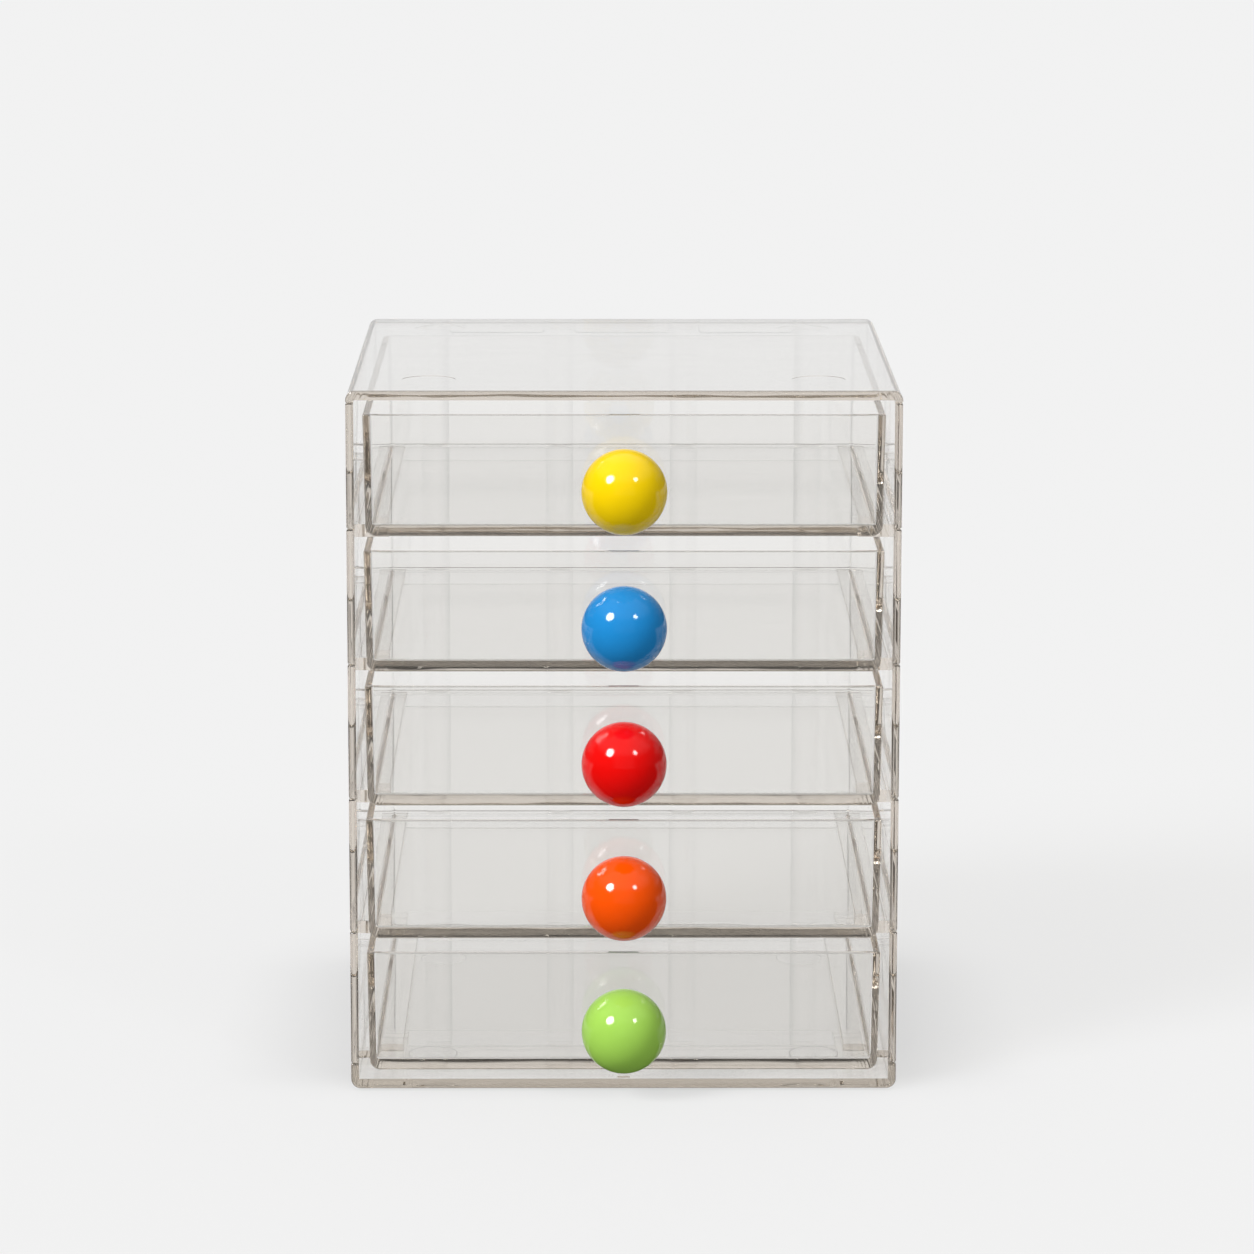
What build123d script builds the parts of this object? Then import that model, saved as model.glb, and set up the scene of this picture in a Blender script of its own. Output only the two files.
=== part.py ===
from build123d import *

import os

# Desk drawer organizer of clear plastic: a case of stacked level frames between a base tray and a top cover,
# with drawers that slide on ledges and are pulled by ball knobs. Millimetres, +Z up, the drawers' fronts face -Y.

# Case
case_width = 175.0
case_depth = 174.0
wall = 2.5
rear_corner_round = 1.0
bay_corner_round = 0.4
seam_gap = 0.05
level_count = 5
front_round_share = 0.36
joint_round_share = 0.32

# Upright ribs of the rear wall, which reach past each joint as tabs that locate one piece of the case on the next
rib_count = 4
rib_spacing = 43.0
rib_width = 9.4
rib_reach = 1.1
tab_depth = 2.2
tab_clearance = 0.1

# Ledges that carry the drawers
ledge_width = 10.0
ledge_height = 4.1
ledge_below_joint = 2.65
ledge_setback = 25.0
ledge_round = 0.5

# Base tray
base_plate = 3.3
base_runner_width = 13.5
base_runner_height = 2.45
base_edge_round = 3.0
gate_nub_width = 4.0
gate_nub_depth = 3.0
gate_nub_setback = 1.0
gate_nub_gap = 0.5
foot_diameter = 16.0
foot_height = 0.8
foot_inset = 25.5
foot_round_share = 0.4

# Top cover
cover_plate = 3.0
cover_rim = 0.8
cover_edge_round = 3.2
cover_joint_round = 0.5
tongue_depth = 3.4
tongue_thickness = 1.2
tongue_clearance = 0.15
tongue_rib_gap = 0.3
tongue_round = 1.5
tongue_edge_share = 0.45
stack_recess_depth = 0.1
stack_clearance = 0.5

# Drawer tray
drawer_height = 38.7
drawer_wall = 2.2
drawer_floor = 3.1
drawer_side_gap = 2.8
drawer_draft = 0.75
cavity_draft = 0.45
drawer_recess = 1.0
drawer_rear_gap = 1.9
drawer_corner_round = 3.4
cavity_corner_round = 1.0
drawer_end_round = 3.0
cavity_end_round = 0.8
drawer_front_round = 0.5
drawer_rim_round = 0.4
slide_gap = 0.25
rim_gap = 0.45
top_headroom = 4.7

# Ball knob and its screw
ball_diameter = 27.0
ball_flat_depth = 1.1
knob_height = 16.2
screw_diameter = 3.5
screw_engagement = 9.0
screw_hole_clearance = 0.2
bore_end_gap = 1.5
head_diameter = 7.5
head_height = 2.4
head_round_share = 0.45
cross_length_share = 0.56
cross_width_share = 0.14
cross_depth_share = 0.5

# Sizes that follow
front_round = wall * front_round_share
joint_round = wall * joint_round_share
bay_width = case_width - 2 * wall
bay_depth = case_depth - wall
ball_radius = ball_diameter / 2
ball_seat_distance = ball_radius - ball_flat_depth
knob_reach = ball_seat_distance + ball_radius - drawer_recess
case_front = (knob_reach - case_depth) / 2
case_rear = case_front + case_depth
bay_rear = case_rear - wall
tray_front = case_front + drawer_recess
tray_rear = bay_rear - rib_reach - drawer_rear_gap
tray_length = tray_rear - tray_front
tray_width = bay_width - 2 * drawer_side_gap
level_pitch = slide_gap + drawer_height + rim_gap + ledge_height
plate_top = foot_height + base_plate
first_ledge = plate_top + base_runner_height
base_joint = first_ledge + ledge_below_joint
base_height = base_joint - seam_gap - foot_height
tray_lift = slide_gap - ledge_below_joint
top_frame_height = tray_lift + drawer_height + top_headroom - cover_rim
cover_height = cover_rim + cover_plate
rib_radius = (rib_width**2 / 4 + rib_reach**2) / (2 * rib_reach)
tongue_y = bay_rear - tongue_clearance - tongue_thickness / 2
tongue_width = rib_spacing - rib_width - 2 * tongue_rib_gap
tongue_places = [(n - (rib_count - 2) / 2) * rib_spacing for n in range(rib_count - 1)]
rib_places = [(n - (rib_count - 1) / 2) * rib_spacing for n in range(rib_count)]
foot_x = case_width / 2 - foot_inset
foot_places = [(x, y) for x in (-foot_x, foot_x) for y in (case_front + foot_inset, case_rear - foot_inset)]

# Shapes stand up from their place, or hang down from it
UP = (Align.CENTER, Align.CENTER, Align.MIN)
DOWN = (Align.CENTER, Align.CENTER, Align.MAX)


def joint_height(level):
    """Height of the joint under a level's frame; level 1 is the top one."""
    return base_joint + (level_count - level) * level_pitch


def tray_bottom(level):
    """Height of the underside of a level's drawer."""
    return joint_height(level) + tray_lift


def rear_rounded(width, depth, rear, corner_round):
    """A plan rectangle that ends at the given rear line, with its two rear corners rounded."""
    plan = Pos(0, rear - depth / 2) * Rectangle(width, depth)
    return fillet(plan.vertices().group_by(Axis.Y)[-1], corner_round)


def rib_bars(bottom, top, behind):
    """Upright bars with a low curved face at each rib's place, cut off at the line behind."""
    face = bay_rear - rib_reach
    depth = behind - face
    plan = Pos(0, face + rib_radius) * Circle(rib_radius)
    plan &= Pos(0, face + depth / 2) * Rectangle(rib_width, depth)
    return [Pos(x, 0, bottom) * extrude(plan, top - bottom) for x in rib_places]


def ribs(bottom, top):
    """Ribs that are rooted in the rear wall."""
    return rib_bars(bottom, top, bay_rear + wall / 2)


def tabs(z):
    """Ends of the ribs that hang below a joint at height z, clear of the next lower rear wall."""
    return rib_bars(z - tab_depth, z, bay_rear - tab_clearance)


def bay_plan():
    """Plan of the space between the walls, open at the front."""
    return rear_rounded(bay_width, bay_depth, bay_rear, bay_corner_round)


def case_plan():
    """Outer plan of the case."""
    return rear_rounded(case_width, case_depth, case_rear, rear_corner_round)


def at_bay_mouth(vertex):
    """True for the four plan corners where the side walls end at the front."""
    return abs(vertex.Y - case_front) < wall


def ledges(z, width, height):
    """Left and right ledge with their upper faces at height z, rooted in the side and rear walls."""
    start = case_front + ledge_setback
    depth = bay_rear + wall / 2 - start
    rooted_width = width + wall / 2
    made = []
    for side in (-1, 1):
        x = side * (bay_width / 2 - width + rooted_width / 2)
        bar = Pos(x, start + depth / 2, z) * Box(rooted_width, depth, height, align=DOWN)
        inner = bar.faces().sort_by(Axis.X)[-1 if side < 0 else 0]
        upper_edge = inner.edges().sort_by(Axis.Z)[-1]
        front_edge = inner.edges().sort_by(Axis.Y)[0]
        made.append(fillet([upper_edge, front_edge], ledge_round))
    return made


def level_frame(level):
    """One level's side walls and rear wall, with the ledges for the drawer of the level above."""
    bottom = joint_height(level)
    height = (top_frame_height if level == 1 else level_pitch) - seam_gap
    outside = fillet(case_plan().vertices().group_by(Axis.Y)[0], front_round)
    block = Pos(0, 0, bottom) * extrude(outside, height)
    ends = block.faces().filter_by(Axis.Z).edges()
    block = fillet(ends, joint_round)
    walls = case_plan() - bay_plan()
    walls = fillet([v for v in walls.vertices() if at_bay_mouth(v)], front_round)
    frame = block & (Pos(0, 0, bottom) * extrude(walls, height))
    if level > 1:
        for ledge in ledges(joint_height(level - 1) - ledge_below_joint, ledge_width, ledge_height):
            frame += ledge
    for rib in ribs(bottom, bottom + height - tab_depth) + tabs(bottom):
        frame += rib
    return frame


def end_block(bottom, height, edge_round, meeting_round, upward):
    """A block of the case's outline, well rounded along its outer side edges and a little along the others."""
    block = Pos(0, (case_front + case_rear) / 2, bottom) * Box(case_width, case_depth, height, align=UP)
    outer, inner = (-1, 0) if upward else (0, -1)
    block = fillet(block.faces().sort_by(Axis.Z)[outer].edges().filter_by(Axis.Y), edge_round)
    joint = block.faces().sort_by(Axis.Z)[inner].center().Z
    rear = block.faces().sort_by(Axis.Y)[-1].edges()
    block = fillet([e for e in rear if abs(e.center().Z - joint) > seam_gap], rear_corner_round)
    front = block.faces().sort_by(Axis.Y)[0].edges()
    meeting = block.faces().sort_by(Axis.Z)[inner].edges()
    return fillet(front + [e for e in meeting if e.center().Y > case_front + meeting_round], meeting_round)


def tongues(z, height):
    """Strips that stand up to height z just inside the rear wall, between the ribs."""
    made = []
    for x in tongue_places:
        strip = Pos(x, tongue_y, z) * Box(tongue_width, tongue_thickness, height, align=DOWN)
        strip = fillet(strip.edges().filter_by(Axis.Y).group_by(Axis.Z)[0], tongue_round)
        long_edges = strip.faces().sort_by(Axis.Z)[0].edges().filter_by(Axis.X)
        made.append(fillet(long_edges, tongue_thickness * tongue_edge_share))
    return made


def top_cover():
    """Top plate with a low rim on the top frame, tongues inside its rear wall and recesses for stacking."""
    bottom = joint_height(1) + top_frame_height
    top = bottom + cover_height
    cover = end_block(bottom, cover_height, cover_edge_round, cover_joint_round, True)
    cover -= Pos(0, 0, bottom) * extrude(bay_plan(), cover_rim)
    for strip in tongues(bottom + cover_rim, cover_rim + tongue_depth):
        cover += strip
    for rib in ribs(bottom, bottom + cover_rim) + tabs(bottom):
        cover += rib
    radius = foot_diameter / 2 + stack_clearance
    for x, y in foot_places:
        cover -= Pos(x, y, top) * Cylinder(radius, stack_recess_depth, align=DOWN)
    return cover


def base_tray():
    """Bottom plate with low walls, runners for the lowest drawer and four low round feet."""
    base = end_block(foot_height, base_height, base_edge_round, joint_round, False)
    base -= Pos(0, 0, plate_top) * extrude(bay_plan(), base_joint - plate_top)
    for runner in ledges(first_ledge, base_runner_width, base_runner_height):
        base += runner
    nub_height = base_runner_height + slide_gap - gate_nub_gap
    nub_y = case_front + gate_nub_setback + gate_nub_depth / 2
    base += Pos(0, nub_y, plate_top) * Box(gate_nub_width, gate_nub_depth, nub_height, align=UP)
    for x, y in foot_places:
        foot = Cylinder(foot_diameter / 2, foot_height, align=UP)
        foot = fillet(foot.edges().sort_by(Axis.Z)[0], foot_height * foot_round_share)
        base += Pos(x, y, 0) * foot
    for rib in ribs(plate_top, base_joint - seam_gap - tab_depth):
        base += rib
    return base


def trough(width, draft, height, length, corner_round):
    """A bar that runs forward from y = 0, narrower below, with rounded lower corners."""
    half = width / 2
    corners = [(-half, height), (half, height), (half - draft, 0), (draft - half, 0)]
    section = make_face(Polyline(*corners, close=True))
    section = fillet(section.vertices().group_by(Axis.Y)[0], corner_round)
    return extrude(Plane.XZ * section, length)


def end_edges(bar, rear):
    """Edges round one end of a trough, without the one at its open top."""
    face = bar.faces().sort_by(Axis.Y)[-1 if rear else 0]
    return face.edges().sort_by(Axis.Z)[:-1]


def drawer_tray(level):
    """Open tray: a rounded trough closed at both ends, with a hole for the knob's screw."""
    bottom = tray_bottom(level)
    outside = trough(tray_width, drawer_draft, drawer_height, tray_length, drawer_corner_round)
    outside = fillet(end_edges(outside, True), drawer_end_round)
    outside = fillet(end_edges(outside, False), drawer_front_round)
    cavity_width = tray_width - 2 * drawer_wall
    cavity_height = drawer_height - drawer_floor
    cavity_length = tray_length - 2 * drawer_wall
    cavity = trough(cavity_width, cavity_draft, cavity_height, cavity_length, cavity_corner_round)
    for rear in (True, False):
        cavity = fillet(end_edges(cavity, rear), cavity_end_round)
    tray = outside - Pos(0, -drawer_wall, drawer_floor) * cavity
    tray = fillet(tray.faces().sort_by(Axis.Z)[-1].edges(), drawer_rim_round)
    hole = Cylinder(screw_diameter / 2 + screw_hole_clearance, drawer_wall, align=UP)
    tray -= Pos(0, drawer_wall - tray_length, knob_height) * Rot(90, 0, 0) * hole
    return Pos(0, tray_rear, bottom) * tray


def ball_knob(level):
    """Ball with a flat seat and a blind bore, set against the drawer's front."""
    ball = Sphere(ball_radius)
    beyond_seat = Box(ball_diameter, ball_flat_depth, ball_diameter)
    ball -= Pos(0, ball_seat_distance + ball_flat_depth / 2, 0) * beyond_seat
    bore = Cylinder(screw_diameter / 2, screw_engagement + bore_end_gap, align=UP)
    ball -= Pos(0, ball_seat_distance, 0) * Rot(90, 0, 0) * bore
    return Pos(0, tray_front - ball_seat_distance, tray_bottom(level) + knob_height) * ball


def knob_screw(level):
    """Pan-head screw from inside the drawer, through its front and into the ball."""
    shank = Cylinder(screw_diameter / 2, drawer_wall + screw_engagement, align=UP)
    head = Cylinder(head_diameter / 2, head_height, align=DOWN)
    head = fillet(head.edges().sort_by(Axis.Z)[0], head_height * head_round_share)
    for turn in (0, 90):
        slot = Box(
            head_diameter * cross_length_share,
            head_diameter * cross_width_share,
            head_height * cross_depth_share,
            align=UP,
        )
        head -= Pos(0, 0, -head_height) * Rot(0, 0, turn) * slot
    screw = Rot(90, 0, 0) * (shank + head)
    return Pos(0, tray_front + drawer_wall, tray_bottom(level) + knob_height) * screw


pieces = {"top_cover": top_cover(), "base_tray": base_tray()}
for level in range(1, level_count + 1):
    pieces[f"level_frame_{level}"] = level_frame(level)
    pieces[f"drawer_tray_{level}"] = drawer_tray(level)
    pieces[f"ball_knob_{level}"] = ball_knob(level)
    pieces[f"knob_screw_{level}"] = knob_screw(level)

os.makedirs("parts", exist_ok=True)
for name, piece in pieces.items():
    export_step(piece, f"parts/{name}.step")
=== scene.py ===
import math

import bpy
from mathutils import Matrix, Vector


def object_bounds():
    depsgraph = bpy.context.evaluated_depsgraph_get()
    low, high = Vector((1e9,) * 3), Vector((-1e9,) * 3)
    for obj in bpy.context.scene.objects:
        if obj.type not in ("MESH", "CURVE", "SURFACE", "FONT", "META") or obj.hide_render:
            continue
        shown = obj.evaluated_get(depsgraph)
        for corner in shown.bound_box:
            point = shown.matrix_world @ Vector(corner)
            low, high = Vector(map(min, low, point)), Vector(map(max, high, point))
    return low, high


# Looks of a clear plastic desk organizer with five drawers and coloured ball knobs. Metres, +Z up, fronts face -Y.

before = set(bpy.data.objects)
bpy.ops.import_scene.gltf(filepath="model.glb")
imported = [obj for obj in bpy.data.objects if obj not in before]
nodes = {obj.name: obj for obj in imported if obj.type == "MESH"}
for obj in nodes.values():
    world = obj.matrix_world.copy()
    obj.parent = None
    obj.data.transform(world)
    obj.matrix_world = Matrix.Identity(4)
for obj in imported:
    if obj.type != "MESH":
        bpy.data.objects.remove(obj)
cad_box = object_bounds()

# Clear plastic
PLASTIC_IOR = 1.53
PLASTIC_COLOUR = (0.985, 0.982, 0.975)
PLASTIC_ROUGHNESS = (0.0, 0.012)
PLASTIC_SHADE = (0.89, 0.885, 0.875)
ABSORBED_PER_METRE = (1.3, 1.75, 2.3)
BASE_ABSORBED_PER_METRE = (2.5, 3.1, 3.9)
ABSORPTION_DENSITY = 4.0
WAVES_PER_METRE = 22.0
WAVE_HEIGHT = 0.00004
HAZE_PER_METRE = 260.0

# Ball knobs, by drawer from the top down
BALL_COLOURS = {
    "ball_knob_1": (0.99, 0.68, 0.001),
    "ball_knob_2": (0.015, 0.265, 0.66),
    "ball_knob_3": (0.88, 0.003, 0.002),
    "ball_knob_4": (0.97, 0.09, 0.001),
    "ball_knob_5": (0.39, 0.70, 0.105),
}
BALL_IOR = 1.5
BALL_ROUGHNESS = (0.07, 0.11)
BALL_SHADE_SHARE = 0.94
BALL_CLOUDS_PER_METRE = 150.0
BALL_HAZE_PER_METRE = 450.0
BALL_SPECKS_PER_METRE = 900.0
BALL_SPECK_HEIGHT = 0.000004

# Steel screws
STEEL_COLOURS = ((0.46, 0.46, 0.47), (0.60, 0.60, 0.61))
STEEL_ROUGHNESS = (0.22, 0.38)
STEEL_GRAIN_PER_METRE = 1500.0

# The range in which most of a noise lies
NOISE_MIDDLE = (0.3, 0.7)

# Camera
LENS_MM = 148.31
SENSOR_MM = 36.0
CAMERA_PLACE = (-0.00908, -1.67767, 0.45997)
CAMERA_PITCH = math.radians(10.87779)
CAMERA_YAW = math.radians(0.358122)
CAMERA_ROLL = math.radians(0.0605686)

# Lamps, with the way to each, its width in degrees and its strength
LAMPS = {
    "key_left": {"towards": (-0.594, -0.514, 0.612), "spread": 21.0, "strength": 2.8},
    "fill_right": {"towards": (0.474, -0.600, 0.643), "spread": 11.0, "strength": 0.6},
}
LIGHT_BOUNCES = 160

# Studio around the object: greys, and the parts of a direction over which one grey turns into the next.
# A name that ends in THROUGH is for light that comes through the clear plastic.
BACKDROP_GREY = 0.80
FRONT_GREY = 0.20
FRONT_GREY_THROUGH = 0.65
SIDE_GREY = 0.08
CEILING_GREY = 0.55
CEILING_GREY_THROUGH = 0.15
FRONT_TO_BACK = (-0.30, 0.30)
SIDE_SPREAD = (0.35, 0.65)
SIDE_SPREAD_THROUGH = (0.15, 0.50)
HEIGHT_SPREAD_THROUGH = (0.25, 0.45)
CEILING_SPREAD = (0.35, 0.75)

# Floor: its colour as a source of bounced light, as the camera sees it, and as gloss or clear plastic shows it
FLOOR_HALF_SIZE = 14.0
FLOOR_COLOUR = 0.40
FLOOR_COLOUR_SEEN = 0.17
FLOOR_COLOUR_BENT = 0.30
FLOOR_GLOW = 0.69
FLOOR_GLOW_BENT = 0.545

# Shade on the floor close to the object, none of it in front
CONTACT_SHADE_SHARE = 0.36
CONTACT_FRONT = (0.05, 0.09)
CONTACT_REACH = 0.05

# How the floor dims beside and before the object in gloss and clear plastic
SWEEP_SIDE = (0.12, 0.45)
SWEEP_WIDENING_SHARE = 0.055
BESIDE_SHARE = 0.80
SWEEP_FRONT_THROUGH = (0.07, 0.16)
BEFORE_THROUGH_SHARE = 0.9
SWEEP_FRONT_GLOSS = (-0.05, 0.05)
BEFORE_GLOSS_SHARE = 0.04


class Graph:
    """Short calls for building one material's or the world's nodes."""

    def __init__(self, tree):
        self.tree = tree
        tree.nodes.clear()

    def add(self, kind, **values):
        """A new node with its inputs set by name, where a node output becomes a link."""
        node = self.tree.nodes.new("ShaderNode" + kind)
        for name, value in values.items():
            self.put(node.inputs[name.replace("_", " ")], value)
        return node

    def put(self, socket, value):
        """Sets one input, or links an output to it."""
        if isinstance(value, bpy.types.NodeSocket):
            self.tree.links.new(value, socket)
        elif isinstance(value, tuple) and len(value) == 3 and socket.type == "RGBA":
            socket.default_value = (*value, 1.0)
        else:
            socket.default_value = value

    def place(self):
        """The surface point in the part's frame."""
        return self.add("TexCoord").outputs["Object"]

    def parts(self, vector):
        """The X, Y and Z of a vector."""
        return self.add("SeparateXYZ", Vector=vector).outputs

    def noise(self, per_metre):
        """Noise with that many features to the metre."""
        return self.add("TexNoise", Vector=self.place(), Scale=per_metre, Detail=2.0).outputs["Fac"]

    def rise(self, value, places, levels, kind="SMOOTHSTEP"):
        """A rise from one level to another as value goes from one place to another."""
        node = self.add("MapRange", Value=value)
        node.interpolation_type = kind
        node.inputs["From Min"].default_value, node.inputs["From Max"].default_value = places
        node.inputs["To Min"].default_value, node.inputs["To Max"].default_value = levels
        return node.outputs["Result"]

    def spread(self, noise, levels):
        """Stretches the middle of a noise over the range between two levels."""
        return self.rise(noise, NOISE_MIDDLE, levels, "LINEAR")

    def maths(self, operation, first, second=0.0):
        """A sum, product or other operation on one or two values."""
        node = self.tree.nodes.new("ShaderNodeMath")
        node.operation = operation
        self.put(node.inputs[0], first)
        self.put(node.inputs[1], second)
        return node.outputs[0]

    def times(self, first, *others):
        """The product of two or more values."""
        for other in others:
            first = self.maths("MULTIPLY", first, other)
        return first

    def mix(self, kind, factor, low, high):
        """A value between two, where kind is Float, or a colour between two, where it is Color."""
        node = self.tree.nodes.new("ShaderNodeMix")
        node.data_type = "RGBA" if kind == "Color" else "FLOAT"
        sockets = {socket.identifier: socket for socket in (*node.inputs, *node.outputs)}
        self.put(sockets["Factor_Float"], factor)
        self.put(sockets["A_" + kind], low)
        self.put(sockets["B_" + kind], high)
        return sockets["Result_" + kind]

    def level(self, factor, low, high):
        """A value between two values."""
        return self.mix("Float", factor, low, high)

    def grey(self, value):
        """A grey of that value."""
        return self.add("CombineColor", Red=value, Green=value, Blue=value).outputs[0]

    def bump(self, value, depth):
        """A normal for a surface that rises by depth where value is 1."""
        return self.add("Bump", Height=value, Distance=depth, Strength=1.0).outputs["Normal"]

    def mix_by_path(self, path, usual, other):
        """A shader that is another one for one kind of light path."""
        factor = self.add("LightPath").outputs[path]
        node = self.tree.nodes.new("ShaderNodeMixShader")
        self.put(node.inputs[0], factor)
        self.put(node.inputs[1], usual)
        self.put(node.inputs[2], other)
        return node.outputs[0]


def new_material(name):
    """An empty node material and the calls that fill it."""
    material = bpy.data.materials.new(name)
    material.use_nodes = True
    return material, Graph(material.node_tree)


def clear_plastic(name, absorbed):
    """Clear moulded plastic: faintly wavy, a little hazy in places, and beige where light goes a long way in it."""
    material, graph = new_material(name)
    glass = graph.add(
        "BsdfPrincipled",
        Base_Color=PLASTIC_COLOUR,
        Roughness=graph.spread(graph.noise(HAZE_PER_METRE), PLASTIC_ROUGHNESS),
        Normal=graph.bump(graph.noise(WAVES_PER_METRE), WAVE_HEIGHT),
        IOR=PLASTIC_IOR,
        Transmission_Weight=1.0,
    )
    open_to_light = graph.add("BsdfTransparent", Color=PLASTIC_SHADE).outputs[0]
    surface = graph.mix_by_path("Is Diffuse Ray", glass.outputs[0], open_to_light)
    surface = graph.mix_by_path("Is Shadow Ray", surface, open_to_light)
    kept = tuple(1 - a / ABSORPTION_DENSITY for a in absorbed)
    volume = graph.add("VolumeAbsorption", Color=kept, Density=ABSORPTION_DENSITY).outputs[0]
    graph.add("OutputMaterial", Surface=surface, Volume=volume)
    return material


def ball_plastic(name, colour):
    """Glossy coloured plastic with a faint unevenness."""
    material, graph = new_material(name)
    shade = tuple(c * BALL_SHADE_SHARE for c in colour)
    shader = graph.add(
        "BsdfPrincipled",
        Base_Color=graph.mix("Color", graph.noise(BALL_CLOUDS_PER_METRE), shade, colour),
        Roughness=graph.spread(graph.noise(BALL_HAZE_PER_METRE), BALL_ROUGHNESS),
        Normal=graph.bump(graph.noise(BALL_SPECKS_PER_METRE), BALL_SPECK_HEIGHT),
        IOR=BALL_IOR,
    )
    graph.add("OutputMaterial", Surface=shader.outputs[0])
    return material


def steel():
    """Plated steel with a fine grain."""
    material, graph = new_material("screw_steel_look")
    grain = graph.noise(STEEL_GRAIN_PER_METRE)
    shader = graph.add(
        "BsdfPrincipled",
        Base_Color=graph.mix("Color", grain, *STEEL_COLOURS),
        Roughness=graph.spread(grain, STEEL_ROUGHNESS),
        Metallic=1.0,
    )
    graph.add("OutputMaterial", Surface=shader.outputs[0])
    return material


def dress_nodes():
    """Gives each CAD node its look."""
    case_look = clear_plastic("clear_case_look", ABSORBED_PER_METRE)
    base_look = clear_plastic("clear_base_look", BASE_ABSORBED_PER_METRE)
    tray_look = clear_plastic("clear_tray_look", ABSORBED_PER_METRE)
    steel_look = steel()
    for name, node in nodes.items():
        if name in BALL_COLOURS:
            look = ball_plastic(name + "_look", BALL_COLOURS[name])
        elif name.startswith("knob_screw"):
            look = steel_look
        elif name.startswith("drawer_tray"):
            look = tray_look
        elif name == "base_tray":
            look = base_look
        else:
            look = case_look
        node.material_slots[0].material = look


def make_camera():
    """The camera at the photograph's place."""
    data = bpy.data.cameras.new("camera")
    data.sensor_width = SENSOR_MM
    data.lens = LENS_MM
    camera = bpy.data.objects.new("camera", data)
    bpy.context.scene.collection.objects.link(camera)
    turn = Matrix.Rotation(-CAMERA_YAW, 4, "Z") @ Matrix.Rotation(math.pi / 2 - CAMERA_PITCH, 4, "X")
    camera.matrix_world = Matrix.Translation(CAMERA_PLACE) @ turn @ Matrix.Rotation(CAMERA_ROLL, 4, "Z")
    bpy.context.scene.camera = camera


def floor_material():
    """A pale floor that keeps the shadow, and is dimmer beside and before the object in gloss and clear plastic."""
    material, graph = new_material("floor_look")
    place = graph.parts(graph.place())
    path = graph.add("LightPath").outputs
    bent = graph.maths("MAXIMUM", path["Is Glossy Ray"], path["Is Transmission Ray"])

    front = graph.times(place["Y"], -1.0)
    widening = graph.times(graph.maths("MAXIMUM", place["Y"]), SWEEP_WIDENING_SHARE)
    aside = graph.maths("SUBTRACT", graph.maths("ABSOLUTE", place["X"]), widening)
    before_through = graph.rise(front, SWEEP_FRONT_THROUGH, (1.0, BEFORE_THROUGH_SHARE))
    before_gloss = graph.rise(front, SWEEP_FRONT_GLOSS, (1.0, BEFORE_GLOSS_SHARE))
    before = graph.level(path["Is Transmission Ray"], before_gloss, before_through)
    share = graph.times(graph.rise(aside, SWEEP_SIDE, (1.0, BESIDE_SHARE)), before)

    tone = graph.level(path["Is Camera Ray"], FLOOR_COLOUR, FLOOR_COLOUR_SEEN)
    tone = graph.level(bent, tone, graph.times(share, FLOOR_COLOUR_BENT))
    lit = graph.add("BsdfDiffuse", Color=graph.grey(tone))

    open_share = graph.add("AmbientOcclusion", Distance=CONTACT_REACH).outputs["AO"]
    shade = graph.rise(front, CONTACT_FRONT, (CONTACT_SHADE_SHARE, 0.0))
    contact = graph.level(open_share, graph.maths("SUBTRACT", 1.0, shade), 1.0)
    seen_glow = graph.times(path["Is Camera Ray"], FLOOR_GLOW, contact)
    bent_glow = graph.times(bent, share, FLOOR_GLOW_BENT)
    strength = graph.maths("MAXIMUM", seen_glow, bent_glow)
    glow = graph.add("Emission", Color=(1.0, 1.0, 1.0), Strength=strength)

    both = graph.tree.nodes.new("ShaderNodeAddShader")
    graph.put(both.inputs[0], lit.outputs[0])
    graph.put(both.inputs[1], glow.outputs[0])
    graph.add("OutputMaterial", Surface=both.outputs[0])
    return material


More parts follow.
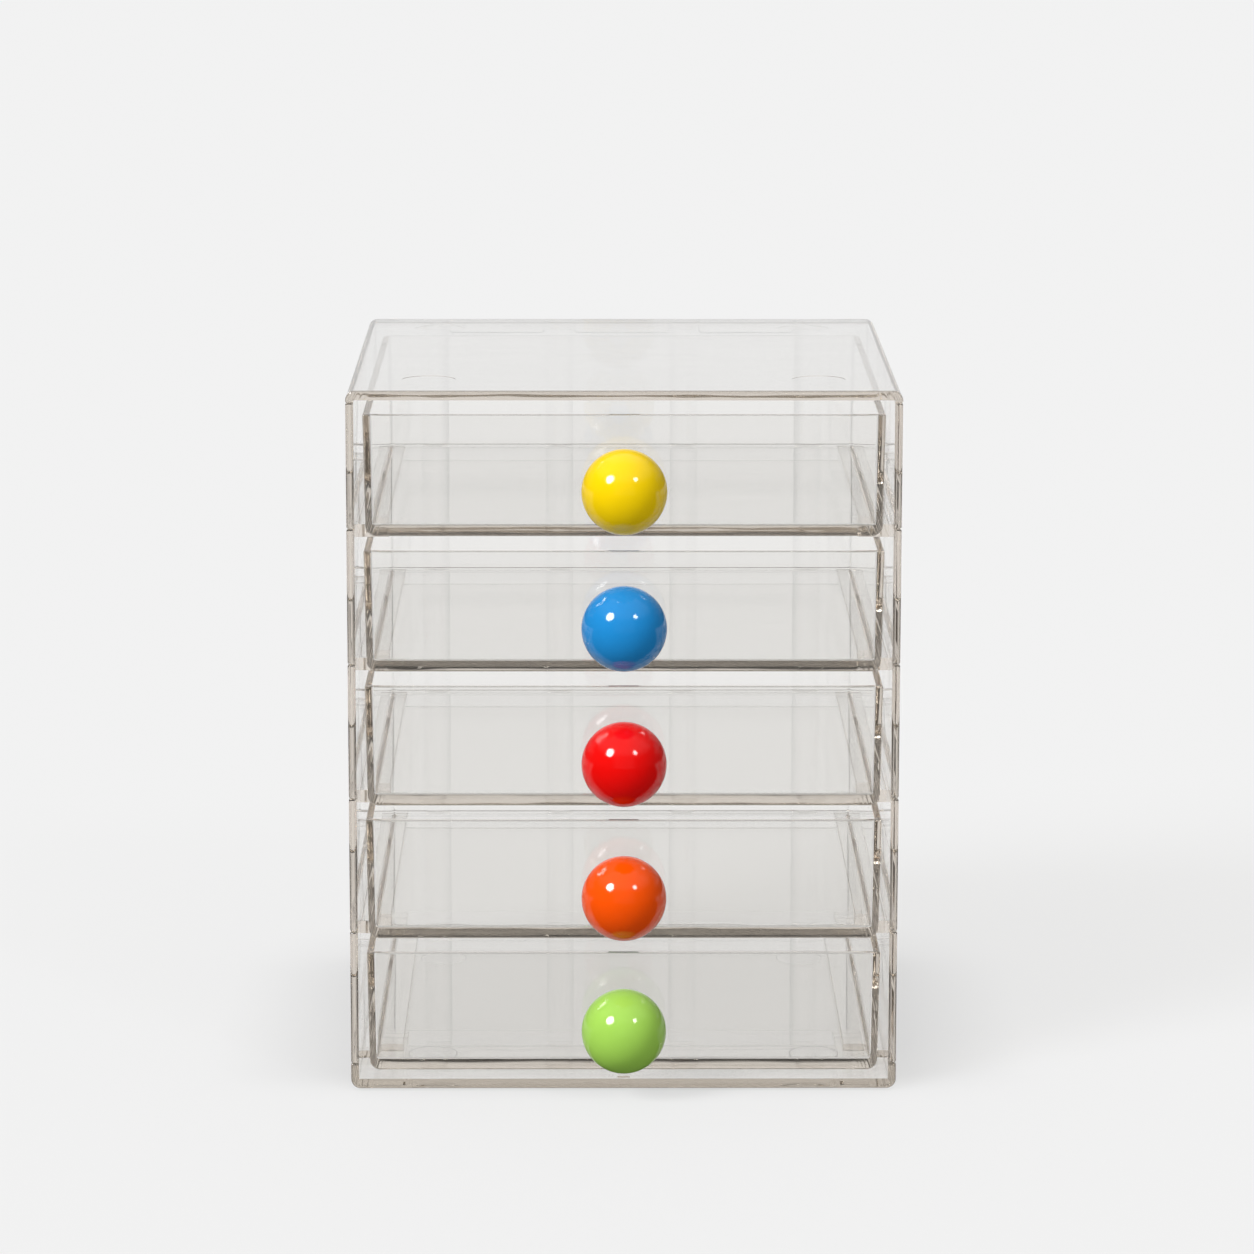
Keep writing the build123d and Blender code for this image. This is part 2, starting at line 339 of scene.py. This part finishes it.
def make_floor():
    """A wide floor under the object."""
    mesh = bpy.data.meshes.new("floor")
    half = FLOOR_HALF_SIZE
    low = cad_box[0].z
    corners = [(-half, -half, low), (half, -half, low), (half, half, low), (-half, half, low)]
    mesh.from_pydata(corners, [], [(0, 1, 2, 3)])
    mesh.materials.append(floor_material())
    floor = bpy.data.objects.new("floor", mesh)
    bpy.context.scene.collection.objects.link(floor)


def make_world():
    """A studio that is white behind the object, dim in front, pale above and dark at the sides."""
    world = bpy.data.worlds.new("studio")
    bpy.context.scene.world = world
    world.use_nodes = True
    graph = Graph(world.node_tree)
    way = graph.parts(graph.add("TexCoord").outputs["Generated"])
    through = graph.add("LightPath").outputs["Is Transmission Ray"]

    front = graph.level(through, FRONT_GREY, FRONT_GREY_THROUGH)
    along = graph.level(graph.rise(way["Y"], FRONT_TO_BACK, (0.0, 1.0)), front, BACKDROP_GREY)
    aside = graph.maths("ABSOLUTE", way["X"])
    wide = graph.rise(aside, SIDE_SPREAD, (1.0, 0.0))
    narrow = graph.rise(aside, SIDE_SPREAD_THROUGH, (1.0, 0.0))
    low = graph.rise(way["Z"], HEIGHT_SPREAD_THROUGH, (1.0, 0.0))
    inner = graph.level(through, wide, graph.times(narrow, low))
    around = graph.maths("MAXIMUM", graph.times(along, inner), SIDE_GREY)

    ceiling = graph.level(through, CEILING_GREY, CEILING_GREY_THROUGH)
    above = graph.times(graph.rise(way["Z"], CEILING_SPREAD, (0.0, 1.0)), ceiling)
    colour = graph.grey(graph.maths("MAXIMUM", around, above))
    background = graph.add("Background", Color=colour, Strength=1.0)
    graph.add("OutputWorld", Surface=background.outputs[0])


def make_lamps():
    """Wide soft lamps, far enough away to light the floor evenly."""
    for name, facts in LAMPS.items():
        data = bpy.data.lights.new(name, "SUN")
        data.angle = math.radians(facts["spread"])
        data.energy = facts["strength"]
        lamp = bpy.data.objects.new(name, data)
        bpy.context.scene.collection.objects.link(lamp)
        lamp.rotation_euler = Vector(facts["towards"]).to_track_quat("Z", "Y").to_euler()


dress_nodes()
make_camera()
make_world()
make_lamps()
make_floor()

scene = bpy.context.scene
scene.view_settings.view_transform = "Standard"
scene.cycles.max_bounces = LIGHT_BOUNCES
scene.cycles.glossy_bounces = LIGHT_BOUNCES
scene.cycles.transmission_bounces = LIGHT_BOUNCES
scene.cycles.transparent_max_bounces = LIGHT_BOUNCES
